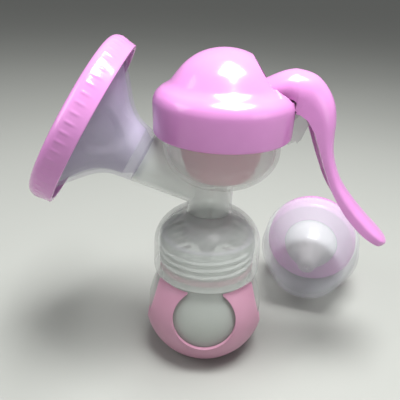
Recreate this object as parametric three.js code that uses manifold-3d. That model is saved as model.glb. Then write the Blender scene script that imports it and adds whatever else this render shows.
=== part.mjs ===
// A manual breast pump with its spare nipple set, as one assembly of separate pieces.
//
// Millimetres, +Z up. The origin is the centre of the pump's underside, where it stands.
// +X points to the squeeze handle, -X to the flange (the funnel worn on the breast).
//
// Reading order: driving sizes, small helpers, then the pieces from the floor up.

import * as THREE from 'three';
import * as BufferGeometryUtils from 'three/addons/utils/BufferGeometryUtils.js';
import Module from 'manifold-3d';

// ---------------------------------------------------------------- driving sizes

const GAP = 0.3;               // clearance between neighbouring pieces
const FACETS = 32;             // facets round a large turned piece

// Bottle and the four-armed stand that holds it
const GLOBE_Z = 27;            // height of the globe's centre
const STAND_R = 32.8;          // outside of the stand, a shell round the globe
const STAND_WALL = 1.8;
const STAND_RIM_Z = 46.3;
const BOTTLE_R = STAND_R - STAND_WALL - GAP;
const BOTTLE_WALL = 1.8;
const NECK_R = 23.4;           // bottle neck, over which the collar screws
const MOUTH_Z = 68.2;

// Pump body: collar, throat, vacuum bowl, suction tube
const COLLAR_R = 28;
const COLLAR_Z = 49;           // lower lip of the collar
const COLLAR_BORE_R = 24.9;
const DOME_Z = 63.6;           // where the collar's wall turns into its dome
const DOME_RISE = 20.8;
const LEDGE_Z = 69.6;          // ledge that the bottle's mouth seals against
const THROAT_R = 11.65;
const BOWL_X = 4.65;           // the bowl sits off the bottle's axis, toward the handle
const BOWL_R = 28.5;
const BOWL_TURN_Z = 115.7;     // the bowl's wall curves inward below this height
const BOWL_DROP = 19.8;
const BOWL_TOP_Z = 127;
const BODY_WALL = 2;

// Flange: its axis climbs outward from the throat
const FLANGE_Z = 91.2;         // height where the flange axis meets the bottle's axis
const FLANGE_TILT = THREE.MathUtils.degToRad(28.7);
const SEAM_W = 38.2;           // distances along the flange axis are named W
const LID_REAR_W = 65.9;
const LID_R = 42.2;
const LID_DEPTH = 12.4;
const MOUTH_R = 39.6;
const MOUTH_RISE = 1.8;        // the funnel bends up this far between its seam and its mouth

// Cover, diaphragm and stem
const COVER_R = 33.5;
const COVER_Z = 123.7;
const COVER_RIDGE_Z = 137;
const HOOD_TOP_Z = 162.8;
const CUP_Z = 101.5;           // underside of the diaphragm's cup

// Handle
const PIVOT = { x: 46, z: 138 };
const CATCH_Z = 134;           // cross pin that lifts the stem
const HANDLE_WALL = 2.4;

// Spare nipple set, lying on its side behind the handle
const SET_X = 71;
const SET_Y = 66;
const SET_TURN = THREE.MathUtils.degToRad(-15);
const RING_R = 28.6;
const CAP_R = 31;
const CAP_END_R = 22;
const CAP_BAND = 16;           // straight band at the cap's open end, on which the set lies
const CAP_LENGTH = 40;

// ---------------------------------------------------------------- helpers

const wasm = await Module();
wasm.setup();

const plastic = (color, roughness) => new THREE.MeshStandardMaterial({ color, roughness, metalness: 0 });
const PINK = plastic(0xe08ad2, 0.22);
const DUSTY_PINK = plastic(0xd9a0b4, 0.35);
const MILKY = plastic(0xc9d2c8, 0.35);
const CLEAR = plastic(0xdfe6e2, 0.12);
const SILICONE = plastic(0xe9e2ea, 0.5);
const PINK_SILICONE = plastic(0xe3a8be, 0.5);
const WHITE = plastic(0xeeeeea, 0.4);

// Points along a stretch of an ellipse in the (radius, height) plane; angles in degrees.
function arc(r, z, rx, rz, from, to, steps = 10) {
  return Array.from({ length: steps + 1 }, (_, i) => {
    const a = THREE.MathUtils.degToRad(from + ((to - from) * i) / steps);
    return [r + rx * Math.cos(a), z + rz * Math.sin(a)];
  });
}

// A solid turned about +Z from an outline that starts and ends on the axis.
function turned(outline, facets = FACETS) {
  const points = outline.map(([r, z]) => new THREE.Vector2(Math.max(r, 0), z));
  return new THREE.LatheGeometry(points, facets).rotateX(Math.PI / 2);
}

// A ring turned about +Z: the outline stays off the axis and closes on itself.
const ring = (outline, facets = FACETS) => turned([...outline, outline[0]], facets);

// A plain ring of rectangular section.
const band = (inner, outer, low, high, facets = FACETS) =>
  ring([[inner, low], [outer, low], [outer, high], [inner, high]], facets);

// An outline in the XZ plane, given thickness along Y on both sides of the middle.
function slab(outline, halfWidth) {
  const shape = new THREE.Shape(outline.map(([x, z]) => new THREE.Vector2(x, z)));
  const solid = new THREE.ExtrudeGeometry(shape, { depth: 2 * halfWidth, bevelEnabled: false });
  return solid.rotateX(Math.PI / 2).translate(0, halfWidth, 0);
}

// A rod of radius r along Y, centred at (x, z).
const crossRod = (r, halfLength, x, z, facets = 20) =>
  new THREE.CylinderGeometry(r, r, 2 * halfLength, facets).translate(x, 0, z);

// A smooth line through a few points, as plain pairs.
const smooth = (points, steps) =>
  new THREE.SplineCurve(points.map(([x, z]) => new THREE.Vector2(x, z)))
    .getPoints(steps).map((p) => [p.x, p.y]);

// Manifold solids are used only to join and to cut.
function solid(geometry) {
  const bare = geometry.clone();
  bare.deleteAttribute('normal');
  bare.deleteAttribute('uv');
  const merged = BufferGeometryUtils.mergeVertices(bare, 1e-4);
  return new wasm.Manifold(new wasm.Mesh({
    numProp: 3,
    vertProperties: new Float32Array(merged.attributes.position.array),
    triVerts: new Uint32Array(merged.index.array),
  }));
}

const join = (...geometries) => geometries.map((g) => (g.isBufferGeometry ? solid(g) : g))
  .reduce((a, b) => a.add(b));
const cut = (base, ...tools) => tools.map((g) => (g.isBufferGeometry ? solid(g) : g))
  .reduce((a, b) => a.subtract(b), base.isBufferGeometry ? solid(base) : base);

function toGeometry(manifold) {
  const mesh = manifold.getMesh();
  const geometry = new THREE.BufferGeometry();
  geometry.setAttribute('position', new THREE.BufferAttribute(mesh.vertProperties, 3));
  geometry.setIndex(new THREE.BufferAttribute(mesh.triVerts, 1));
  geometry.computeVertexNormals();
  return geometry;
}

function piece(name, shape, material, parent) {
  const mesh = new THREE.Mesh(shape.isBufferGeometry ? shape : toGeometry(shape), material);
  mesh.name = name;
  parent.add(mesh);
  return mesh;
}

const pump = new THREE.Group();

// ---------------------------------------------------------------- stand and bottle

// Height of a sphere's wall where its radius is r, above or below the globe's centre.
const rise = (radius, r) => Math.sqrt(radius * radius - r * r);
const degrees = THREE.MathUtils.radToDeg;

const FOOT_R = 15;
const footAngle = -degrees(Math.asin(GLOBE_Z / STAND_R));
const rimAngle = degrees(Math.asin((STAND_RIM_Z - GLOBE_Z) / STAND_R));
const innerStandR = STAND_R - STAND_WALL;
const standShell = turned([
  [0, 1.3], [FOOT_R + GAP, 1.3], [FOOT_R + GAP, 0],
  ...arc(0, GLOBE_Z, STAND_R, STAND_R, footAngle, rimAngle, 8),
  ...arc(0, GLOBE_Z, innerStandR, innerStandR,
    degrees(Math.asin((STAND_RIM_Z - GLOBE_Z) / innerStandR)), -52, 7),
  [0, GLOBE_Z - innerStandR * Math.sin(THREE.MathUtils.degToRad(52))],
]);
// Round windows through the front and back, and slightly larger ones at the two sides.
const frontWindows = crossRod(16, 50, 0, 33, 32);
const sideWindows = new THREE.CylinderGeometry(16.5, 16.5, 100, 32)
  .rotateZ(Math.PI / 2).translate(0, 0, 34);
piece('bottle_stand', cut(standShell, frontWindows, sideWindows), DUSTY_PINK, pump);

piece('stand_foot', turned([[0, 0], [FOOT_R, 0], [FOOT_R, 1], [0, 1]]), PINK_SILICONE, pump);

const innerBottleR = BOTTLE_R - BOTTLE_WALL;
const bottleFloor = GLOBE_Z - innerStandR * Math.sin(THREE.MathUtils.degToRad(52)) + GAP;
const floorAngle = (radius, z) => -degrees(Math.asin((GLOBE_Z - z) / radius));
const shoulder = (radius, r) => degrees(Math.acos(r / radius));
piece('bottle', turned([
  [0, bottleFloor],
  ...arc(0, GLOBE_Z, BOTTLE_R, BOTTLE_R, floorAngle(BOTTLE_R, bottleFloor), shoulder(BOTTLE_R, NECK_R), 9),
  [NECK_R, MOUTH_Z], [NECK_R - BODY_WALL, MOUTH_Z],
  ...arc(0, GLOBE_Z, innerBottleR, innerBottleR, shoulder(innerBottleR, NECK_R - BODY_WALL),
    floorAngle(innerBottleR, bottleFloor + BOTTLE_WALL), 8),
  [0, bottleFloor + BOTTLE_WALL],
]), MILKY, pump);

piece('neck_ring', band(NECK_R + GAP, 24.5, 50.4, 53.6), PINK_SILICONE, pump);
piece('mouth_seal', band(NECK_R - BODY_WALL + 0.2, NECK_R + 0.8, MOUTH_Z + GAP, LEDGE_Z - GAP),
  SILICONE, pump);

// ---------------------------------------------------------------- pump body

// Outside of the suction tube: it narrows from the seam toward the throat.
const tubeR = (w) => 8 + 0.145 * w;

function onFlange(geometry) {
  return geometry.rotateY(FLANGE_TILT - Math.PI / 2).translate(0, 0, FLANGE_Z);
}

const collarOuter = turned([
  [0, COLLAR_Z], [COLLAR_R - 0.3, COLLAR_Z], [COLLAR_R, COLLAR_Z + 1.5],
  ...arc(0, DOME_Z, COLLAR_R, DOME_RISE, 0, 90, 8),
]);
const throatOuter = turned([[0, 78], [THROAT_R, 78], [THROAT_R, 98.5], [0, 98.5]], 28);
const tubeOuter = onFlange(turned([
  [0, 0], [tubeR(0), 0], [tubeR(SEAM_W), SEAM_W], [0, SEAM_W],
]));
const bracket = slab([
  [29, 118.6], [34.6, 118.6], [39, 120.6], [43.4, 123.6], [48.4, 128.4], [51, 134],
  [PIVOT.x + 5.4, PIVOT.z], [40.6, PIVOT.z], [39, 135], [39, 122.9], [29, 122.9],
], 7.2);
const bracketBoss = crossRod(5.4, 7.2, PIVOT.x, PIVOT.z, 28);

const domeInnerRise = DOME_RISE - BODY_WALL;
const domeInnerR = COLLAR_R - BODY_WALL;
const ledgeHoleR = 21;
const collarInner = turned([
  [0, COLLAR_Z - 1], [COLLAR_BORE_R, COLLAR_Z - 1], [COLLAR_BORE_R, LEDGE_Z], [ledgeHoleR, LEDGE_Z],
  ...arc(0, DOME_Z, domeInnerR, domeInnerRise, degrees(Math.acos(ledgeHoleR / domeInnerR)), 90, 5),
]);
const THROAT_BORE_R = 8.8;
const throatBore = turned([[0, 70], [THROAT_BORE_R, 70], [THROAT_BORE_R, 95.6], [0, 95.6]], 28);
const tubeBore = onFlange(turned([
  [0, -1], [tubeR(0) - BODY_WALL, -1], [tubeR(SEAM_W) - BODY_WALL + 0.1, SEAM_W + 1], [0, SEAM_W + 1],
]));

const bowlOutline = (r, drop, top) => [
  ...arc(0, BOWL_TURN_Z, r, drop, -90, 0, 7), [r, top], [0, top],
];
const atBowl = (geometry) => geometry.translate(BOWL_X, 0, 0);
const bowlSpace = atBowl(turned(bowlOutline(BOWL_R - BODY_WALL, BOWL_DROP - BODY_WALL, 140)));
const bowlOuter = atBowl(turned([
  ...arc(0, BOWL_TURN_Z, BOWL_R, BOWL_DROP, -90, 0, 7),
  [BOWL_R, 124], [30.8, 124.6], [30.8, BOWL_TOP_Z], [0, BOWL_TOP_Z],
]));
const spigot = band(THROAT_BORE_R, THROAT_R - 1, 73.5, 84, 28);
// Web across the throat that keeps the milk path and the air path apart.
const web = new THREE.BoxGeometry(1.5, 2 * THROAT_BORE_R + 1, 13).translate(1, 0, 86);
const airHole = turned([[0, 90], [3, 90], [3, 100], [0, 100]], 20).translate(BOWL_X, 0, 0);

const bodyShell = cut(join(collarOuter, throatOuter, tubeOuter), throatBore, tubeBore, collarInner);
const body = cut(
  join(bodyShell, bowlOuter, spigot, web, bracket, bracketBoss),
  bowlSpace, airHole, crossRod(2.6, 20, PIVOT.x, PIVOT.z),
);
piece('pump_body', body, MILKY, pump);

// Duckbill valve on the throat's spigot: a cup, then two lips that close on a slit.
const valveCup = ring([
  [THROAT_R - 1 + GAP, 67.5], [THROAT_R + 1.2, 67.5], [THROAT_R + 1.2, 77], [THROAT_R - 1 + GAP, 77],
], 28);
const valveRoof = turned([[0, 64], [8, 64], [THROAT_R + 1.2, 67.5], [THROAT_R + 1.2, 69], [0, 69]], 28);
const beak = (half, lip, low) => slab([[-half, 68.5], [half, 68.5], [lip, low], [-lip, low]], half);
piece('duckbill_valve', cut(
  join(valveCup, valveRoof, beak(7, 1.1, 51)), beak(5.6, 0.25, 50.5),
), PINK_SILICONE, pump);

// ---------------------------------------------------------------- flange

// The flange's pieces are turned about its axis, outward = +W.
const flange = new THREE.Group();
flange.position.z = FLANGE_Z;
flange.rotation.y = FLANGE_TILT - Math.PI / 2;
pump.add(flange);

// The funnel and what it carries bend up a little on the way to the mouth.
function bent(geometry) {
  const position = geometry.attributes.position;
  for (let i = 0; i < position.count; i++) {
    const share = THREE.MathUtils.smoothstep(position.getZ(i), 43, 65);
    position.setX(i, position.getX(i) + MOUTH_RISE * share);
  }
  return geometry;
}

// Outside of the funnel: a straight throat that flares to the mouth.
const FUNNEL_WALL = 1.7;
const flare = smooth([[13.6, SEAM_W + GAP], [14.2, 43], [16, 49.5], [20.4, 55.2], [26.2, 60.2],
  [32.2, 65.2], [37.8, 69.4]], 9);
const offset = (line, by) => line.map(([r, w], i) => {
  const [r0, w0] = line[Math.max(i - 1, 0)];
  const [r1, w1] = line[Math.min(i + 1, line.length - 1)];
  const length = Math.hypot(r1 - r0, w1 - w0);
  return [r - (by * (w1 - w0)) / length, w + (by * (r1 - r0)) / length];
});
const SLEEVE_W = 35;           // the funnel's sleeve slides this far into the tube
const sleeveR = (w) => tubeR(w) - BODY_WALL - GAP;
piece('flange_funnel', bent(ring([
  [sleeveR(SLEEVE_W), SLEEVE_W], [sleeveR(SEAM_W) - 0.1, SEAM_W + GAP], ...flare,
  [MOUTH_R, 70.4], [MOUTH_R, 72.2], ...offset(flare, FUNNEL_WALL).slice(2).reverse(),
  [sleeveR(SEAM_W) - 1.4, SEAM_W + 1], [sleeveR(SLEEVE_W) - 1.3, SLEEVE_W],
])), MILKY, flange);

// Silicone cushion lining the funnel, with a lip folded over its mouth.
const CUSHION_WALL = 1.5;
const liningOuter = offset(flare, FUNNEL_WALL + GAP).slice(2);
const liningInner = offset(flare, FUNNEL_WALL + GAP + CUSHION_WALL).slice(2);
piece('massage_cushion', bent(ring([
  ...liningOuter, [MOUTH_R - 0.4, 72.5], [MOUTH_R - 0.4, 74], ...liningInner.reverse(),
])), SILICONE, flange);

// Dust lid: a shallow cap with a rounded front.
const lidFront = LID_REAR_W + LID_DEPTH;
const lidInner = MOUTH_R + 0.5;
piece('funnel_lid', bent(turned([
  [0, lidFront - 2], [lidInner - 4, lidFront - 2], [lidInner - 1, lidFront - 3.4], [lidInner, lidFront - 6],
  [lidInner, LID_REAR_W], [LID_R, LID_REAR_W], [LID_R + 0.4, lidFront - 4.3],
  ...arc(LID_R - 4.2, lidFront - 4.3, 4.4, 4.1, 25, 75, 2), [LID_R - 8, lidFront + 0.2], [0, lidFront + 0.8],
], 48)), PINK, flange);

// ---------------------------------------------------------------- diaphragm, stem and cover

const centre = new THREE.Group();
centre.position.x = BOWL_X;
pump.add(centre);

// Rolling diaphragm: a rim clamped on the bowl and a cup that the stem pulls up.
const DIAPHRAGM_WALL = 1.4;
piece('diaphragm', turned([
  [0, CUP_Z], [14.5, CUP_Z], [16.6, CUP_Z + 2.2], [20.6, 117], [25.4, BOWL_TOP_Z + GAP],
  [30.7, BOWL_TOP_Z + GAP], [30.7, 129], [24.2, 129], [19.2, 117.4],
  [15.2, CUP_Z + 3], [14, CUP_Z + DIAPHRAGM_WALL], [0, CUP_Z + DIAPHRAGM_WALL],
]), PINK_SILICONE, centre);

const washerLow = CUP_Z + DIAPHRAGM_WALL + GAP;
piece('stem_washer', turned([[0, washerLow], [11.6, washerLow], [12, washerLow + 2.2], [0, washerLow + 2.2]], 36),
  WHITE, centre);

const stemLow = washerLow + 2.2 + GAP;
const stemRod = turned([[0, stemLow], [7, stemLow], [7, stemLow + 1.6], [3.6, stemLow + 3.2], [3.6, 130],
  [0, 130]], 28);
const stemHead = new THREE.BoxGeometry(9, 10.6, 12).translate(0, 0, CATCH_Z);
piece('stem', cut(join(stemRod, stemHead), crossRod(2.3, 12, 0, CATCH_Z)), WHITE, centre);

// Cover: a wide cap with a hood, whose handle side is cut away on a slant.
const hoodRise = 20;
const hoodZ = HOOD_TOP_Z - hoodRise;
const coverOuter = turned([
  [0, COVER_Z], [COVER_R - 0.3, COVER_Z], [COVER_R, COVER_Z + 1],
  ...arc(COVER_R - 10, COVER_RIDGE_Z, 10, 9.6, 0, 82, 5),
  ...arc(0, hoodZ, 24.3, hoodRise, 13, 90, 7),
]);
const coverInner = turned([
  [0, COVER_Z - 1], [31.4, COVER_Z - 1], ...arc(COVER_R - 10, COVER_RIDGE_Z, 7.9, 7.6, 0, 78, 4),
  ...arc(0, hoodZ, 22.4, hoodRise - 1.8, 16, 90, 6),
]);
const slant = { topX: 9.35, lowX: 24, topZ: HOOD_TOP_Z - 0.8, lowZ: 141.5 };
const slantAt = (z) => slant.topX
  + ((slant.topZ - z) * (slant.lowX - slant.topX)) / (slant.topZ - slant.lowZ);
const slantCut = (low, half) => slab([[slantAt(170), 170], [slantAt(low), low], [50, low], [50, 170]], half);
piece('top_cover', cut(coverOuter, coverInner, slantCut(slant.lowZ, 12.2), slantCut(147.6, 40)),
  PINK, centre);

// ---------------------------------------------------------------- handle

// Side view of the lever: the crest is its outer line, the edge its open inner side.
const crest = smooth([[3, 146.4], [13, 147.6], [23, 149.8], [31, 153], [38.5, 154.2], [46, 152.4],
  [52.6, 147], [56.4, 139.6], [57.8, 130], [58.4, 119.5], [61, 110], [66.4, 100.4], [74, 90.8],
  [83, 81.6], [90.6, 74.6]], 32);
const edge = smooth([[87.4, 71.2], [78.6, 76.2], [70.4, 83.8], [63.4, 91.2], [57.8, 99.8], [53.8, 109],
  [51, 117.4], [47.6, 125.2], [44, 132.4], [40.6, 138.8], [36, 142.9]], 20);
const headEnd = [[24, 143.2], [12.4, 142], [11.2, 131.2], [-4.2, 131.2], [-4.2, 141]];
const leverSide = [...crest, [91.8, 72.4], ...edge, ...headEnd];

// The channel inside it: the crest moved in by one wall, open past the inner edge.
const channelTop = offset(crest, -HANDLE_WALL).slice(2, 30);
const channelSide = [...channelTop, [70, 66], [30, 90], [30, 139], [13, 128], [-1.8, 128], [-1.8, 142.6]];

// Half widths: across the head and arch by x, and down the grip by z, where it flares.
function leverWidth(less) {
  const plan = smooth([[-6, 8.4], [20, 8.4], [28, 9.4], [36, 10.8], [64, 10.8]], 16);
  const front = smooth([[126.4, 10.8], [114, 10.6], [100, 11.2], [86, 12.6], [76, 13], [66, 13]], 14);
  const planShape = new THREE.Shape([
    ...plan.map(([x, half]) => new THREE.Vector2(x, half - less)),
    ...plan.reverse().map(([x, half]) => new THREE.Vector2(x, less - half)),
  ].reverse());
  const frontShape = new THREE.Shape([
    ...front.map(([z, half]) => new THREE.Vector2(half - less, z)),
    ...front.reverse().map(([z, half]) => new THREE.Vector2(less - half, z)),
  ].reverse());
  const upper = new THREE.ExtrudeGeometry(planShape, { depth: 60, bevelEnabled: false }).translate(0, 0, 126);
  const lower = new THREE.ExtrudeGeometry(frontShape, { depth: 130, bevelEnabled: false })
    .rotateX(Math.PI / 2).rotateZ(Math.PI / 2);
  return { upper, lower };
}
const width = leverWidth(0);
const inside = leverWidth(HANDLE_WALL);
const lever = solid(slab(leverSide.reverse(), 20)).intersect(join(width.upper, width.lower));
const channel = solid(slab(channelSide.reverse(), 20)).intersect(join(inside.upper, inside.lower));
piece('handle', cut(lever, channel, crossRod(2.6, 9.7, PIVOT.x, PIVOT.z), crossRod(2.1, 7.4, BOWL_X, CATCH_Z)),
  PINK, pump);

piece('handle_pin', crossRod(2.3, 9.4, PIVOT.x, PIVOT.z, 24), WHITE, pump);
piece('stem_pin', crossRod(1.8, 7.1, BOWL_X, CATCH_Z, 24), WHITE, pump);

// ---------------------------------------------------------------- spare nipple set

// Turned about its own axis, from the ring outward; it lies on the cap's straight band.
const nippleSet = new THREE.Group();
nippleSet.rotation.order = 'ZYX';
nippleSet.rotation.z = SET_TURN;
nippleSet.rotation.x = Math.PI / 2;
nippleSet.position.set(SET_X, SET_Y, CAP_R + 0.02);
pump.add(nippleSet);

piece('nipple_cap', turned([
  [0, CAP_LENGTH - 1.5], [CAP_END_R - 4, CAP_LENGTH - 1.5], [CAP_END_R - 1.5, CAP_LENGTH - 4],
  [CAP_R - 1.5, CAP_BAND], [CAP_R - 1.5, 0], [CAP_R, 0], [CAP_R, CAP_BAND],
  ...arc(CAP_END_R - 3, CAP_LENGTH - 3, 3, 3, 0, 90, 3), [0, CAP_LENGTH],
]), CLEAR, nippleSet);

piece('nipple_ring', ring([
  [RING_R - 2, -8], [RING_R, -8], [RING_R, 5], [RING_R - 1.5, 6.5], [17, 6.5], [17, 4.5], [RING_R - 2, 4.5],
]), PINK, nippleSet);

piece('nipple', ring([
  [22, 1.6], [22, 4.2], [16.4, 4.2], [16.4, 9], [13.6, 15], [9.4, 20.4], [7, 25], [6.1, 31], [5.6, 34.6],
  [3.4, 36.8], [0.8, 37.2], [0.8, 35.6], [3.6, 34.6], [4.5, 31], [5.4, 25], [7.8, 19.6], [12, 14.2],
  [14.6, 9], [14.6, 1.6],
], 28), SILICONE, nippleSet);

piece('nipple_seal_disc', turned([[0, -0.4], [24.5, -0.4], [24.5, 1.3], [0, 1.3]]), MILKY, nippleSet);

export default pump;
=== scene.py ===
# %% [markdown]
# # A manual breast pump
#
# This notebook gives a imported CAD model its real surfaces. The pump is a hand lever, a hooded
# cover over a soft diaphragm, a clear bowl and throat, a flange with a dust lid, a globe bottle on
# a stand, and a spare nipple under a clear cap. The CAD model is a fixed frame: each new piece is
# made where its CAD node is and moves with the same body.

import math

import bmesh
import bpy
from mathutils import Matrix, Vector


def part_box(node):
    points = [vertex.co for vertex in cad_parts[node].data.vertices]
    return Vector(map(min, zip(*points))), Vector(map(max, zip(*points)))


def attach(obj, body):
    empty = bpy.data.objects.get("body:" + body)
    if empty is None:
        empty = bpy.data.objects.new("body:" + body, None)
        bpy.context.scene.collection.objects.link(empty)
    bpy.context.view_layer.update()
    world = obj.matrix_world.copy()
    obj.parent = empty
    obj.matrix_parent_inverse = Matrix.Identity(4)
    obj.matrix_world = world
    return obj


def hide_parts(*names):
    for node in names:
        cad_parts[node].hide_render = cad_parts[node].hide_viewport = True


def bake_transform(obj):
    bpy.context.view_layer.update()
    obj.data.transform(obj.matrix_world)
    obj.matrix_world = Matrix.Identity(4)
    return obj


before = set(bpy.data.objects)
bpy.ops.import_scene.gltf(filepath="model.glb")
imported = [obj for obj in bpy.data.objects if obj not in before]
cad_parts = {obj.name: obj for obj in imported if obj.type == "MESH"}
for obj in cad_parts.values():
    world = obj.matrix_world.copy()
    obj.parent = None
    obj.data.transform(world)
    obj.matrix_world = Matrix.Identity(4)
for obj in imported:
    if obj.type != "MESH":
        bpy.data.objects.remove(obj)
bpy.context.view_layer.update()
MM = 0.001

# %% [markdown]
# ## Camera
# A normal lens a quarter of a metre away, looking down at 25 degrees, as a person at a table sees
# the pump. The camera's matrix is built from three directions (side, top, back), because that
# makes the small roll of a hand-held camera easy to add.

# %% Place the camera
tilt, turn, roll = math.radians(24.94), math.radians(-0.51), math.radians(2.30)
ahead = Vector((math.sin(turn) * math.cos(tilt), math.cos(turn) * math.cos(tilt), -math.sin(tilt)))
level_side = Vector((math.cos(turn), -math.sin(turn), 0))
level_top = level_side.cross(ahead)
side = level_side * math.cos(roll) + level_top * math.sin(roll)
top = level_top * math.cos(roll) - level_side * math.sin(roll)
eye = Vector((-4.73, 0, 87.1)) * MM - ahead * 0.25527

lens = bpy.data.cameras.new("camera")
lens.sensor_width, lens.lens = 36, 45
camera = bpy.data.objects.new("camera", lens)
camera.matrix_world = Matrix.Translation(eye) @ Matrix((side, top, -ahead)).transposed().to_4x4()
bpy.context.collection.objects.link(camera)
bpy.context.scene.camera = camera
print("camera at", [round(v, 3) for v in eye])

# %% [markdown]
# ## Materials: three helpers
# A Blender material is a small network of nodes. `add` makes one node, fills its sockets and links
# it. `colour` turns an sRGB hex value, the kind a paint chart gives, into the linear numbers that
# the renderer needs.

# %% Material helpers
def colour(code, alpha=1.0):
    """sRGB hex to linear RGBA."""
    parts = [int(code[i:i + 2], 16) / 255 for i in (0, 2, 4)]
    return [v / 12.92 if v <= 0.04045 else ((v + 0.055) / 1.055) ** 2.4 for v in parts] + [alpha]


def add(tree, kind, values=None, links=None, **settings):
    """One shader node with its socket values, its links and its settings."""
    node = tree.nodes.new("ShaderNode" + kind)
    for key, value in settings.items():
        setattr(node, key, value)
    for key, value in (values or {}).items():
        node.inputs[key].default_value = value
    for key, source in (links or {}).items():
        tree.links.new(source, node.inputs[key])
    return node


def moulded(name, light, dark, roughness, grain_mm, bump_mm, cloud_mm=18, **sockets):
    """A moulded plastic or rubber: slow colour clouds, a fine skin and a slightly uneven gloss."""
    material = bpy.data.materials.new(name)
    material.use_nodes = True
    tree = material.node_tree
    tree.nodes.clear()
    place = add(tree, "TexCoord").outputs["Object"]
    clouds = add(tree, "TexNoise", {"Scale": 1 / (cloud_mm * MM), "Detail": 2}, {"Vector": place})
    tint = add(tree, "Mix", {"A": colour(dark), "B": colour(light)},
               {"Factor": clouds.outputs["Fac"]}, data_type="RGBA")
    grain = add(tree, "TexNoise", {"Scale": 1 / (grain_mm * MM), "Detail": 3}, {"Vector": place})
    gloss = add(tree, "MapRange", {"To Min": roughness * 0.8, "To Max": roughness * 1.2},
                {"Value": clouds.outputs["Fac"]})
    skin = add(tree, "Bump", {"Strength": 0.5, "Distance": bump_mm * MM}, {"Height": grain.outputs["Fac"]})
    shader = add(tree, "BsdfPrincipled", sockets, {
        "Base Color": tint.outputs["Result"], "Roughness": gloss.outputs["Result"],
        "Normal": skin.outputs["Normal"]})
    add(tree, "OutputMaterial", None, {"Surface": shader.outputs["BSDF"]})
    return material

# %% [markdown]
# ## Materials: what the pump is made of
# Almost everything is polypropylene, a light waxy plastic with an IOR of 1.49. Pigment makes the
# pink pieces opaque and glossy. Without pigment it is milky: light gets through, but what lies
# behind is veiled. That veil is drawn with a plain alpha, which stays quiet at few samples. The
# soft pieces are silicone, IOR 1.41, rougher and a little hazy. Object coordinates are in metres,
# so a pattern's scale is one over its size in metres.

# %% Make the finishes
PP = {"IOR": 1.49, "Specular IOR Level": 0.5}
SOFT = {"IOR": 1.41, "Specular IOR Level": 0.45}

glossy_pink_pp = moulded("glossy moulded polypropylene, pink", "E29ADA", "D68BCC", 0.22, 1.6, 0.012,
                         **PP, **{"Coat Weight": 0.35, "Coat Roughness": 0.08})
stand_pp = moulded("satin moulded polypropylene, dusty pink", "D9A6BD", "CB94AD", 0.36, 0.9, 0.02,
                   **PP, Alpha=0.8)
body_pp = moulded("natural moulded polypropylene, milky", "F1F5F1", "E3EAE6", 0.24, 1.2, 0.012,
                  **PP, Alpha=0.32)
thread_pp = moulded("natural moulded polypropylene, thick thread", "FAFCFA", "F0F4F2", 0.2, 1.2, 0.012,
                    **PP, Alpha=0.85)
bottle_pp = moulded("natural blown polypropylene, frosted", "E4EAE3", "D6DED7", 0.4, 0.8, 0.02,
                    **PP, Alpha=0.36)
funnel_pp = moulded("natural moulded polypropylene, lilac cast", "D0CCE2", "C0BCD6", 0.2, 1.4, 0.01,
                    **PP, Alpha=0.24)
cap_pp = moulded("clear moulded polypropylene", "E3E6EA", "D2D8DC", 0.12, 1.6, 0.01,
                 **PP, Alpha=0.3)
clear_silicone = moulded("moulded silicone, clear", "E6E0EC", "D8D0E0", 0.4, 0.7, 0.02,
                         **SOFT, Alpha=0.45)
pink_silicone = moulded("moulded silicone, pink", "DC8FAC", "CC7E9A", 0.45, 0.7, 0.02, **SOFT, Alpha=0.7)
milky_silicone = moulded("moulded silicone, milky", "E9E4E6", "DAD4D8", 0.4, 0.7, 0.02, **SOFT, Alpha=0.4)
valve_silicone = moulded("moulded silicone, milky and thick", "F2EEF0", "E6E1E4", 0.4, 0.7, 0.02,
                         **SOFT, Alpha=0.8)
cup_silicone = moulded("moulded silicone, deep pink", "E66C9E", "D25A8C", 0.42, 0.7, 0.02, **SOFT)
white_acetal = moulded("moulded acetal, white", "F0EFEA", "E4E3DD", 0.35, 0.8, 0.01,
                       IOR=1.48)
print(len(bpy.data.materials), "materials")

# %% [markdown]
# ## Shape helpers
# Most pieces are turned: half of their section is drawn as an outline of (radius, height) pairs in
# millimetres, and Blender's spin operator carries it round. Sharp moulded corners don't exist, so
# `softened` rounds each corner of an outline before it is spun.

# %% Outlines
def ellipse(r, z, across, up, first, last, steps=16):
    """Points along a stretch of an ellipse, angles in degrees."""
    angles = [math.radians(first + (last - first) * i / steps) for i in range(steps + 1)]
    return [(r + across * math.cos(a), z + up * math.sin(a)) for a in angles]


def softened(outline, radius=0.7, steps=4):
    """Rounds each corner of a closed outline that turns by more than 25 degrees."""
    line = []
    for i, point in enumerate(outline):
        here = Vector(point)
        back = Vector(outline[i - 1]) - here
        on = Vector(outline[(i + 1) % len(outline)]) - here
        if point[0] < 1e-6 or back.angle(-on, 0) < math.radians(25):
            line.append(tuple(here))
            continue
        reach = min(radius, 0.45 * back.length, 0.45 * on.length)
        start, end = here + back.normalized() * reach, here + on.normalized() * reach
        for k in range(steps + 1):
            t = k / steps
            line.append(tuple(start * (1 - t) ** 2 + here * 2 * t * (1 - t) + end * t ** 2))
    return line


def through(points, per=5):
    """A smooth line through a few points: each stretch is a Catmull-Rom curve."""
    rows = [Vector(p) for p in points]
    rows = [rows[0] * 2 - rows[1]] + rows + [rows[-1] * 2 - rows[-2]]
    line = []
    for a, b, c, d in zip(rows, rows[1:], rows[2:], rows[3:]):
        for k in range(per):
            t = k / per
            line.append(tuple((b * 2 + (c - a) * t + (a * 2 - b * 5 + c * 4 - d) * t ** 2
                               + (b * 3 - a - c * 3 + d) * t ** 3) * 0.5))
    return line + [tuple(rows[-2])]


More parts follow.
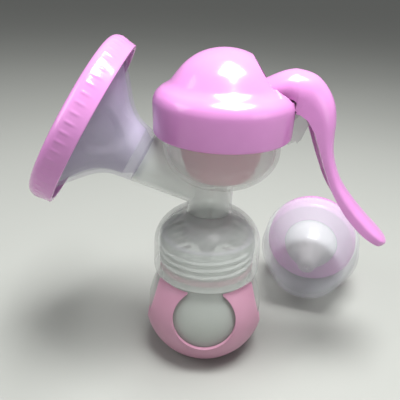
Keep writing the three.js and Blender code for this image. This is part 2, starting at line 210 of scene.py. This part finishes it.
def moved_in(line, by):
    """The same line shifted sideways by a wall's thickness."""
    shifted = []
    for i, (r, z) in enumerate(line):
        r0, z0 = line[max(i - 1, 0)]
        r1, z1 = line[min(i + 1, len(line) - 1)]
        length = math.hypot(r1 - r0, z1 - z0)
        shifted.append((r - by * (z1 - z0) / length, z + by * (r1 - r0) / length))
    return shifted

# %% Spin, join and finish
def spun(outline, steps=96):
    """A closed solid turned about Z. An outline that starts and ends on the axis isn't closed along it."""
    bm = bmesh.new()
    points = [bm.verts.new((r * MM, 0, z * MM)) for r, z in outline]
    open_ended = outline[0][0] < 1e-6 and outline[-1][0] < 1e-6
    ends = points[1:] if open_ended else points[1:] + points[:1]
    edges = [bm.edges.new(pair) for pair in zip(points, ends)]
    bmesh.ops.spin(bm, geom=points + edges, cent=(0, 0, 0), axis=(0, 0, 1), angle=math.tau,
                   steps=steps, use_merge=True)
    bmesh.ops.remove_doubles(bm, verts=bm.verts, dist=1e-6)
    bmesh.ops.recalc_face_normals(bm, faces=bm.faces)
    return bm


def shaped(name, bm, matrix=None):
    """An object from a bmesh, with its place put into its mesh."""
    if matrix is not None:
        bmesh.ops.transform(bm, matrix=matrix, verts=bm.verts)
    mesh = bpy.data.meshes.new(name)
    bm.to_mesh(mesh)
    bm.free()
    piece = bpy.data.objects.new(name, mesh)
    bpy.context.collection.objects.link(piece)
    return piece


def settle(piece):
    """Applies a piece's modifiers."""
    bpy.context.view_layer.update()
    seen = piece.evaluated_get(bpy.context.evaluated_depsgraph_get())
    mesh = bpy.data.meshes.new_from_object(seen)
    piece.modifiers.clear()
    piece.data = mesh
    return piece


def combined(piece, tools, operation):
    """Joins tools to a piece or cuts them from it, one after another, and removes them."""
    for tool in tools:
        step = piece.modifiers.new("combine", "BOOLEAN")
        step.operation, step.object, step.solver = operation, tool, "MANIFOLD"
        settle(piece)
        bpy.data.objects.remove(tool)
    return piece


def eased(piece, width, angle=40, segments=2):
    """Rounds a piece's sharp edges with a Bevel modifier."""
    bevel = piece.modifiers.new("soft edges", "BEVEL")
    bevel.width, bevel.segments, bevel.limit_method = width * MM, segments, "ANGLE"
    bevel.angle_limit = math.radians(angle)
    bevel.harden_normals = False
    return settle(piece)


def done(piece, material, body, *nodes, slot, smooth=32):
    """Shades a piece smooth, gives it its finish and hangs it on its body, if it is given one."""
    mesh = piece.data
    mesh.materials.clear()
    mesh.materials.append(material)
    mesh.shade_smooth()
    mesh.set_sharp_from_angle(angle=math.radians(smooth))
    if body:
        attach(piece, body)
    if nodes:
        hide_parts(*nodes)
    print(f"{piece.name}: {len(mesh.polygons)} faces on {body or 'two bodies'}")
    return piece

# %% [markdown]
# ## Bottle stand
# A pink cradle cups the globe. It is a spherical shell with four round windows that run out through
# its rim, so the frosted bottle shows at the front and sides. One way is to delete faces and mend
# the edge; a Boolean cut with round cutters keeps the window edges truly round.

# %% Make the stand and its foot
GLOBE_Z = 27
stand_line = softened([(0, 1.3), (15.3, 1.3), (15.3, 0)] + ellipse(0, GLOBE_Z, 32.8, 32.8, -55.4, 36.05, 26)
                      + ellipse(0, GLOBE_Z, 31, 31, 38.5, -52, 24) + [(0, 2.57)])


def cutter(radius, height, matrix, segments=96):
    """A plain round cutter about its own Z."""
    bm = bmesh.new()
    bmesh.ops.create_cone(bm, cap_ends=True, segments=segments, radius1=radius * MM, radius2=radius * MM,
                          depth=height * MM)
    return shaped("cutter", bm, matrix)


def at(x, y, z):
    return Matrix.Translation(Vector((x, y, z)) * MM)


along_y = Matrix.Rotation(math.pi / 2, 4, "X")
along_x = Matrix.Rotation(math.pi / 2, 4, "Y")
stand = shaped("stand", spun(stand_line, 128))
combined(stand, [cutter(16, 90, at(0, 0, 33) @ along_y), cutter(16.5, 90, at(0, 0, 34) @ along_x)],
         "DIFFERENCE")
eased(stand, 0.5)
done(stand, stand_pp, "bottle_unit", "bottle_stand", slot="dusty_pink")

foot = shaped("foot_pad", spun(softened([(0, 0), (15, 0), (15, 1), (0, 1)], 0.3)))
done(foot, pink_silicone, "bottle_unit", "stand_foot", slot="pink_silicone")

# %% [markdown]
# ## Bottle
# The bottle is a blown globe with a wide neck. Its thread is a real helix: the spin operator can
# climb while it turns, which makes a screw ridge from one small section. The ridge rises 4 mm a
# turn, the same as the joint that unscrews the pump.

# %% Make the bottle and its thread
PITCH = 4.0


def screw_ridge(name, section, turns):
    """A helical ridge: a small section is spun while it climbs, and its two ends are closed."""
    bm = bmesh.new()
    points = [bm.verts.new((r * MM, 0, z * MM)) for r, z in section]
    loop = [bm.edges.new(pair) for pair in zip(points, points[1:] + points[:1])]
    steps = int(72 * turns)
    bmesh.ops.spin(bm, geom=points + loop, cent=(0, 0, 0), axis=(0, 0, 1), angle=math.tau * turns,
                   steps=steps, dvec=(0, 0, PITCH * turns * MM / steps))
    bmesh.ops.holes_fill(bm, edges=[e for e in bm.edges if e.is_boundary])
    bmesh.ops.recalc_face_normals(bm, faces=bm.faces)
    return shaped(name, bm)


neck_line = [(23.4, 68.2), (21.4, 68.2)]
bottle_line = softened([(0, 2.87)] + ellipse(0, GLOBE_Z, 30.7, 30.7, -51.8, 40.3, 26) + neck_line
                       + ellipse(0, GLOBE_Z, 28.9, 28.9, 42.2, -50.5, 24) + [(0, 4.7)], 0.6)
bottle = shaped("bottle", spun(bottle_line, 112))
done(bottle, bottle_pp, "bottle_unit", "bottle", slot="milky")
thread = screw_ridge("bottle_thread", [(23.3, 54.6), (24.5, 55.1), (24.5, 55.8), (23.3, 56.3)], 2.6)
done(thread, bottle_pp, "bottle_unit", slot="milky")

washer = shaped("neck_washer", spun(softened([(23.7, 50.4), (24.5, 50.4), (24.5, 53.6), (23.7, 53.6)], 0.3)))
done(washer, pink_silicone, "bottle_unit", "neck_ring", slot="pink_silicone")
seal = shaped("mouth_gasket", spun(softened([(21.6, 68.5), (24.2, 68.5), (24.2, 69.3), (21.6, 69.3)], 0.2)))
done(seal, clear_silicone, "head_rise", "mouth_seal", slot="silicone")

# %% [markdown]
# ## Pump body
# One clear moulding joins the screw collar, the throat, the vacuum bowl and the suction tube. Each
# region is a turned solid; Boolean unions merge them, and their hollows are cut last, so that the
# walls stay even where the regions meet. The ridge inside the collar still crosses the neck washer.

# %% Make the pump body
FLANGE_TILT = math.radians(28.7)
BOWL_X = (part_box("top_cover")[0][0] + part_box("top_cover")[1][0]) / 2 / MM
SEAM = 38.2
on_flange = at(0, 0, 91.2) @ Matrix.Rotation(FLANGE_TILT - math.pi / 2, 4, "Y")
on_bowl = at(BOWL_X, 0, 0)


def turned_tool(outline, matrix=None, steps=80):
    return shaped("tool", spun(outline, steps), matrix)


def tube_r(w):
    return 8 + 0.145 * w


def bowl_line(r, drop, rim):
    return ellipse(0, 115.7, r, drop, -90, 0, 22) + rim


body = shaped("pump_body", spun(softened(
    [(0, 49), (27.7, 49), (28, 50.5)] + ellipse(0, 63.6, 28, 20.8, 0, 90, 20), 0.6), 112))
combined(body, [
    turned_tool([(0, 78), (11.65, 78), (11.65, 98.5), (0, 98.5)]),
    turned_tool(softened([(0, 0), (tube_r(0), 0), (tube_r(SEAM), SEAM), (0, SEAM)], 0.4), on_flange),
], "UNION")
combined(body, [
    turned_tool([(0, 70), (8.8, 70), (8.8, 95.6), (0, 95.6)]),
    turned_tool([(0, -1), (tube_r(0) - 2, -1), (tube_r(SEAM) - 1.9, SEAM + 1), (0, SEAM + 1)], on_flange),
    turned_tool([(0, 48), (24.9, 48), (24.9, 69.6), (21, 69.6)]
                + ellipse(0, 63.6, 26, 18.8, 36.1, 90, 12), None, 112),
], "DIFFERENCE")

bracket_bm = bmesh.new()
outline = [(29, 121), (36, 121.1), (39.6, 121.6), (41.2, 123.4), (42.4, 126.6), (43.6, 130), (47, 132.9),
           (51, 136), (51.2, 138), (40.8, 138), (39.2, 135), (39.2, 122.9), (29, 122.9)]
flat = bmesh.ops.contextual_create(bracket_bm, geom=[
    bracket_bm.verts.new((x * MM, -7.1 * MM, z * MM)) for x, z in outline])["faces"]
wide = bmesh.ops.extrude_face_region(bracket_bm, geom=flat)["geom"]
bmesh.ops.translate(bracket_bm, vec=(0, 14.2 * MM, 0),
                    verts=[v for v in wide if isinstance(v, bmesh.types.BMVert)])
bmesh.ops.recalc_face_normals(bracket_bm, faces=bracket_bm.faces)
web_bm = bmesh.new()
bmesh.ops.create_cube(web_bm, size=1, matrix=at(1, 0, 86) @ Matrix.Diagonal((0.0015, 0.0186, 0.013, 1)))
combined(body, [
    turned_tool(softened(bowl_line(28.5, 19.8, [(28.5, 124), (30.8, 124.6), (30.8, 127), (0, 127)]), 0.3),
                on_bowl, 112),
    turned_tool([(8.8, 73.5), (10.65, 73.5), (10.65, 84), (8.8, 84)]),
    shaped("web", web_bm),
    shaped("bracket", bracket_bm),
    cutter(5.3, 14.2, at(46, 0, 138) @ along_y, 48),
], "UNION")
combined(body, [
    turned_tool(bowl_line(26.5, 17.8, [(26.5, 140), (0, 140)]), on_bowl, 112),
    cutter(3, 10, at(BOWL_X, 0, 95), 32),
    cutter(2.6, 40, at(46, 0, 138) @ along_y, 40),
], "DIFFERENCE")
done(body, body_pp, "head", "pump_body", slot="milky")
collar_thread = screw_ridge("collar_thread", [(25, 52.6), (25, 54.3), (23.8, 53.8), (23.8, 53.1)], 2.9)
done(collar_thread, thread_pp, "head", slot="milky")

# %% [markdown]
# ## Duckbill valve
# A soft cup that ends in two flat lips. It starts as a turned cup whose lower part is then squeezed
# flat, vertex by vertex, which is just how the rubber closes.

# %% Make the valve
valve_bm = spun(softened([(0, 51), (6.4, 51), (7, 62), (8.4, 64.6), (12.8, 67.5), (12.8, 77), (10.95, 77),
                          (10.95, 69), (6.2, 66.2), (5.6, 62), (5, 52), (0, 52)], 0.5), 64)
for vert in valve_bm.verts:
    squeeze = min(max((66 * MM - vert.co.z) / (15 * MM), 0), 1)
    vert.co.x *= 1 - 0.86 * squeeze
    vert.co.y *= 1 + 0.1 * squeeze
valve = shaped("duckbill", valve_bm)
done(valve, valve_silicone, "head", "duckbill_valve", slot="pink_silicone")

# %% [markdown]
# ## Flange
# The funnel flares from the tube to its mouth and leans up a little on the way. Its silicone lining
# carries five soft petals that massage the breast: oval pads pushed inward from the turned lining.

# %% Make the funnel and its lining
MOUTH_RISE = 1.8
FLARE = through([(13.6, 38.5), (14.2, 43), (16, 49.5), (20.4, 55.2), (26.2, 60.2), (32.2, 65.2),
                 (37.8, 69.4)], 4)


def leaned(bm):
    """Bends a piece of the flange upward between its seam and its mouth."""
    for vert in bm.verts:
        share = min(max((vert.co.z / MM - 43) / 22, 0), 1)
        vert.co.x += MOUTH_RISE * MM * share * share * (3 - 2 * share)
    return bm


sleeve = [(tube_r(SEAM) - 2.4, SEAM + 0.3)]
inner_flare = moved_in(FLARE, 1.7)[4:]
funnel_line = ([(tube_r(35) - 2.3, 35)] + sleeve + FLARE + [(39.6, 70.4), (39.6, 72.2)] + inner_flare[::-1]
               + [(tube_r(SEAM) - 3.7, SEAM + 1), (tube_r(35) - 3.6, 35)])
funnel = shaped("funnel", leaned(spun(softened(funnel_line, 0.5), 112)), on_flange)
done(funnel, funnel_pp, "head", "flange_funnel", slot="funnel")

lining_out = moved_in(FLARE, 2.0)[4:]
lining_in = moved_in(FLARE, 3.5)[4:]
lining_bm = spun(softened(lining_out + [(39.2, 72.5), (39.2, 74)] + lining_in[::-1], 0.5), 160)
for vert in lining_bm.verts:
    r, w = math.hypot(vert.co.x, vert.co.y) / MM, vert.co.z / MM
    if not 46 < w < 70 or r > 36:
        continue
    angle = math.atan2(vert.co.y, vert.co.x)
    nearest = round(angle / (math.tau / 5)) * (math.tau / 5)
    reach = math.hypot((w - 58.5) / 8.5, (angle - nearest) / math.radians(29))
    raised = min(max((1.0 - reach) / 0.22, 0), 1)
    raised = raised * raised * (3 - 2 * raised)
    vert.co.x *= 1 - 2.2 * raised / r
    vert.co.y *= 1 - 2.2 * raised / r
    vert.co.z += 1.6 * raised * MM
lining = shaped("petal_lining", leaned(lining_bm), on_flange)
done(lining, clear_silicone, "head", "massage_cushion", slot="silicone", smooth=60)

# %% [markdown]
# ## Dust lid
# A shallow pink cap pushed over the funnel's mouth. Its front edge is broadly rounded, and short
# grip ribs run back from it: spinning with eight steps per rib leaves vertices where each rib
# stands, and those are pushed out by a fraction of a millimetre.

# %% Make the lid
LID_FRONT = 78.3
RIBS = 60
lid_line = ([(0, LID_FRONT - 2), (36.1, LID_FRONT - 2), (39.1, LID_FRONT - 3.4), (40.1, LID_FRONT - 6),
             (40.1, 65.9), (42.1, 65.9), (42.25, 67.5), (42.4, 69.5), (42.5, 70.6), (42.55, 71.6),
             (42.6, 72.8),
             (42.6, LID_FRONT - 4.6)]
            + ellipse(38.2, LID_FRONT - 4.4, 4.4, 4.1, 8, 82, 10)
            + [(34, LID_FRONT + 0.1), (24, LID_FRONT + 0.5), (12, LID_FRONT + 0.7), (0, LID_FRONT + 0.8)])
lid_bm = spun(softened(lid_line, 0.5), RIBS * 8)
for vert in lid_bm.verts:
    r, w = math.hypot(vert.co.x, vert.co.y) / MM, vert.co.z / MM
    share = min(max((w - 70) / 0.8, 0), 1) * min(max((LID_FRONT - 3.6 - w) / 0.8, 0), 1)
    if r > 41.5 and share > 0:
        phase = math.atan2(vert.co.y, vert.co.x) * RIBS / math.tau % 1
        rib = max(0, 1 - abs(phase - 0.5) / 0.2)
        vert.co.x *= 1 + 0.22 * rib * share / r
        vert.co.y *= 1 + 0.22 * rib * share / r
lid = shaped("dust_lid", leaned(lid_bm), on_flange)
done(lid, glossy_pink_pp, "lid", "funnel_lid", slot="pink")

# %% [markdown]
# ## Diaphragm
# Silicone: on the pump its rim stays on the bowl while its cup is pulled up by the stem, so it rides
# on no one body. Here it hangs on no body at all, and its place is baked into its mesh.

# %% Make the diaphragm
cup_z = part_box("diaphragm")[0][2] / MM
cup_line = softened([(0, cup_z), (14.5, cup_z), (16.6, cup_z + 2.2), (18.6, 109.5), (20.6, 117), (23, 122.6),
                     (25.4, 127.3), (30.6, 127.3), (30.6, 129), (24.2, 129), (21.6, 123.4), (19.2, 117.4),
                     (17.2, 110), (15.2, cup_z + 3), (14, cup_z + 1.4), (0, cup_z + 1.4)], 1.0)
diaphragm = shaped("diaphragm_cup", spun(cup_line, 96), on_bowl)
done(diaphragm, cup_silicone, None, "diaphragm", slot="pink_silicone")
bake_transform(diaphragm)

# %% [markdown]
# ## Cover
# A wide pink cap: an almost straight band, a crisp ridge, a soft shoulder and a tall hood, cut away
# on a slant where the handle comes out. One smooth line from ridge to crown gives the soft hollow
# between shoulder and hood.

# %% Make the cover
crown = through([(33.5, 137.2), (33.2, 139.6), (32.1, 142.1), (30, 144.2), (27.6, 145.7), (25.6, 147.3),
                 (23.9, 149.4), (22, 151.9), (19.9, 154.4), (17.2, 156.9), (13.9, 159.2), (10.3, 160.9),
                 (6.3, 162.1), (2.4, 162.7)], 4)
under = through([(31.5, 137), (31.1, 139.4), (29.8, 141.4), (27.6, 143), (25.2, 144.2), (23.6, 146.2),
                 (22, 148.6), (20.1, 151.1), (17.9, 153.6), (15.2, 156), (11.9, 158.2), (8.4, 159.8),
                 (4.4, 160.8), (1.6, 161)], 4)
cover_line = [(31.4, 123.7), (32.7, 123.7), (33.1, 124.4)] + crown + [(0, 162.8), (0, 161.1)] + under[::-1]


def cover_solid():
    """The cover before its slanted cut. Its outline is reordered to start and end on the axis."""
    start = cover_line.index((0, 161.1))
    return spun(softened(cover_line[start:] + cover_line[:start], 0.5), 128)


def slab(outline, half, matrix=None):
    """A flat outline in the XZ plane, thickened along Y."""
    bm = bmesh.new()
    face = bmesh.ops.contextual_create(bm, geom=[
        bm.verts.new((x * MM, -half * MM, z * MM)) for x, z in outline])["faces"]
    swept = bmesh.ops.extrude_face_region(bm, geom=face)["geom"]
    bmesh.ops.translate(bm, vec=(0, 2 * half * MM, 0),
                        verts=[v for v in swept if isinstance(v, bmesh.types.BMVert)])
    bmesh.ops.recalc_face_normals(bm, faces=bm.faces)
    return shaped("tool", bm, matrix)


def slant_x(z):
    """Where the slanted cut lies at a height, from the crown down to the shoulder."""
    return 10.6 + (162 - z) * (24.6 - 10.6) / (162 - 141.5)


cover = shaped("cover", cover_solid(), on_bowl)
combined(cover, [
    slab([(slant_x(170), 170), (slant_x(141.5), 141.5), (50, 141.5), (50, 170)], 12.2, on_bowl),
    slab([(slant_x(170), 170), (slant_x(147.6), 147.6), (50, 147.6), (50, 170)], 40, on_bowl),
], "DIFFERENCE")
eased(cover, 0.35, 45)
done(cover, glossy_pink_pp, "head", "top_cover", slot="pink")

# %% [markdown]
# ## Handle
# The lever is a channel with a rounded crown. Two lofts make it: an outer one, and an inner one
# that is cut from it and leaves an even wall. Each loft is a row of sections set square to the
# crest line, bridged one to the next, so depth, width and roundness can change along the grip.
# This lever is deeper than the CAD one, and at rest it still crosses the cover, the bracket and
# the stem. The CAD lever clears them, so trust that one for clearances.

# %% Make the handle
# x and z of the crest, then depth of the side walls, half width, and depth of the rounded crown
STATIONS = [
    (-4.2, 144.6, 13.4, 8.2, 2.6), (1, 145.8, 14.6, 8.3, 2.8), (10.4, 146.9, 15.6, 8.3, 3),
    (12.6, 147.2, 6, 8.3, 3.4),
    (18, 148.1, 6.2, 8.3, 4.4), (23, 149.8, 7.4, 8.7, 5.6), (29.4, 152.8, 10.6, 9.7, 8),
    (34, 154.3, 13.2, 10.5, 9.8),
    (38.6, 154.6, 16.6, 10.8, 11), (46.4, 152.3, 18.4, 10.9, 11.2), (52.4, 146.6, 17.2, 11.1, 10.8),
    (56.2, 139.6, 15.6, 11.4, 9.6), (57.7, 131.8, 13.2, 11.7, 8.2), (57.8, 125.4, 10.4, 11.9, 7),
    (58.3, 118.4, 7.8, 12, 5.6), (60.6, 110.6, 6.7, 12, 5), (65.1, 101.6, 7, 12.1, 4.8),
    (72.6, 92, 7.8, 12.3, 4.8), (80.8, 83.2, 7.6, 12.9, 4.3), (86.6, 77.6, 6.4, 12.6, 3.6),
    (89.6, 74.6, 5.2, 11.2, 3), (91.4, 72.6, 3.8, 8.6, 2.4),
]


def section(half, crown_depth, depth):
    """Half an ellipse for the crown, then straight walls and a flat underside."""
    arch = [(half * math.sin(a), crown_depth * (math.cos(a) - 1))
            for a in (math.radians(-90 + 180 * k / 20) for k in range(21))]
    return arch + [(half, -(crown_depth + depth) / 2), (half, -depth), (half / 3, -depth),
                   (-half / 3, -depth),
                   (-half, -depth), (-half, -(crown_depth + depth) / 2)]


def lofted(name, rows, less=0.0, reach=0.0):
    """Bridges a row of sections set along the crest. less thins the section, reach deepens it."""
    bm = bmesh.new()
    loops = []
    for i, (x, z, depth, half, crown_depth) in enumerate(rows):
        before, after = rows[max(i - 1, 0)], rows[min(i + 1, len(rows) - 1)]
        along = Vector((after[0] - before[0], after[1] - before[1])).normalized()
        out = Vector((-along.y, along.x))
        points = []
        for y, n in section(half - less, max(crown_depth - less * 0.6, 0.6), depth + reach):
            place = ((x + out.x * (n - less)) * MM, y * MM, (z + out.y * (n - less)) * MM)
            points.append(bm.verts.new(place))
        loops.append([bm.edges.new(pair) for pair in zip(points, points[1:] + points[:1])])
    for first, second in zip(loops, loops[1:]):
        bmesh.ops.bridge_loops(bm, edges=first + second)
    bmesh.ops.holes_fill(bm, edges=[e for e in bm.edges if e.is_boundary])
    bmesh.ops.recalc_face_normals(bm, faces=bm.faces)
    return shaped(name, bm)


fine = through(STATIONS, 4)
handle = lofted("squeeze_handle", fine)
channel = lofted("channel", fine[4:-7], less=2.4, reach=3)
combined(handle, [channel, cutter(2.6, 19.4, at(46, 0, 138) @ along_y, 40),
                  cutter(2.1, 14.8, at(BOWL_X, 0, 134) @ along_y, 40)], "DIFFERENCE")
eased(handle, 0.5, 50)
done(handle, glossy_pink_pp, "lever", "handle", slot="pink")

# %% [markdown]
# ## Spare nipple
# A nipple lies ready under a clear cap, on the pump's own screw ring. The set lies on its side, so all
# of it is turned about one level axis. The ring is ribbed for grip in the same way as the lid.

# %% Make the spare set
on_set = at(71, 66, 31.02) @ Matrix.Rotation(math.radians(-15), 4, "Z") @ along_y

cap = shaped("clear_cap", spun(softened(
    [(0, 38.5), (18, 38.5), (20.5, 36), (29.5, 16), (29.5, 0), (31, 0), (31, 16)]
    + ellipse(19, 37, 3, 3, 5, 90, 8) + [(0, 40)], 1.2), 112), on_set)
done(cap, cap_pp, "set_cap", "nipple_cap", slot="clear")

ring_bm = spun(softened([(26.6, -8), (28.4, -8), (28.4, -2), (28.4, 4.6), (26.9, 6.4), (17, 6.4),
                         (17, 4.6), (26.6, 4.6)], 0.7), 72 * 6)
for vert in ring_bm.verts:
    r, w = math.hypot(vert.co.x, vert.co.y) / MM, vert.co.z / MM
    if r > 28 and -7.4 < w < 4:
        phase = math.atan2(vert.co.y, vert.co.x) * 72 / math.tau % 1
        vert.co.x *= 1 + 0.2 * max(0, 1 - abs(phase - 0.5) / 0.25) / r
        vert.co.y *= 1 + 0.2 * max(0, 1 - abs(phase - 0.5) / 0.25) / r
ring = shaped("screw_ring", ring_bm, on_set)
done(ring, glossy_pink_pp, "nipple_set", "nipple_ring", slot="pink")

teat_out = through([(16.4, 4.2), (16.2, 9), (13.6, 15), (9.4, 20.4), (7, 25), (6.1, 31), (5.3, 34.8),
                    (3.4, 36.7), (1, 37.2)], 4)
teat_in = through([(1, 35.6), (3.4, 34.4), (4.5, 31), (5.4, 25), (7.8, 19.6), (12, 14.2), (14.5, 9),
                   (14.6, 1.7)], 4)
teat = shaped("nipple_teat", spun(softened([(22, 1.7), (22, 4.2)] + teat_out + teat_in, 0.4), 96), on_set)
done(teat, milky_silicone, "nipple_set", "nipple", slot="silicone")

disc = shaped("seal_disc", spun(softened([(0, -0.4), (24.5, -0.4), (24.5, 1.3), (0, 1.3)], 0.4), 96), on_set)
done(disc, body_pp, "nipple_set", "nipple_seal_disc", slot="milky")

# %% [markdown]
# ## Pieces kept from the CAD model
# The stem, its washer and the two pins are plain turned parts inside the pump, so their CAD shapes
# are kept as they are. They only need their finish.

# %% Finish the kept pieces
for name in ("stem", "stem_washer", "handle_pin", "stem_pin"):
    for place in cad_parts[name].material_slots:
        place.material = white_acetal
    print(name, "is", white_acetal.name)

# %% [markdown]
# ## Floor and light
# A plain pale floor, a large soft light overhead, and two weak ones at the sides. Large lights give
# the broad soft-edged highlights that moulded plastic shows.

# %% Make the floor and the lights
floor_bm = bmesh.new()
bmesh.ops.create_grid(floor_bm, x_segments=1, y_segments=1, size=6)
floor = shaped("floor", floor_bm)
floor_paint = moulded("matt paint, pale", "A9ABA6", "A3A5A0", 0.9, 4, 0.01, cloud_mm=300)
floor.data.materials.append(floor_paint)


def softbox(name, place, aim, size, power):
    """A square area light that faces a point."""
    light = bpy.data.lights.new(name, "AREA")
    light.size, light.energy = size, power
    lamp = bpy.data.objects.new(name, light)
    lamp.location = place
    lamp.rotation_euler = (Vector(aim) - Vector(place)).to_track_quat("-Z", "Y").to_euler()
    bpy.context.collection.objects.link(lamp)


middle = (0, 0, 0.09)
softbox("overhead", (0.1, -0.06, 0.75), middle, 0.36, 9.5)
softbox("left window", (-0.8, -0.1, 0.6), middle, 0.5, 2.2)
softbox("right fill", (0.8, -0.5, 0.35), middle, 0.5, 1.0)
world = bpy.data.worlds.new("pale studio")
world.use_nodes = True
world.node_tree.nodes["Background"].inputs["Color"].default_value = colour("F4F5F6")
world.node_tree.nodes["Background"].inputs["Strength"].default_value = 0.26
bpy.context.scene.world = world
bpy.context.scene.view_settings.view_transform = "Standard"
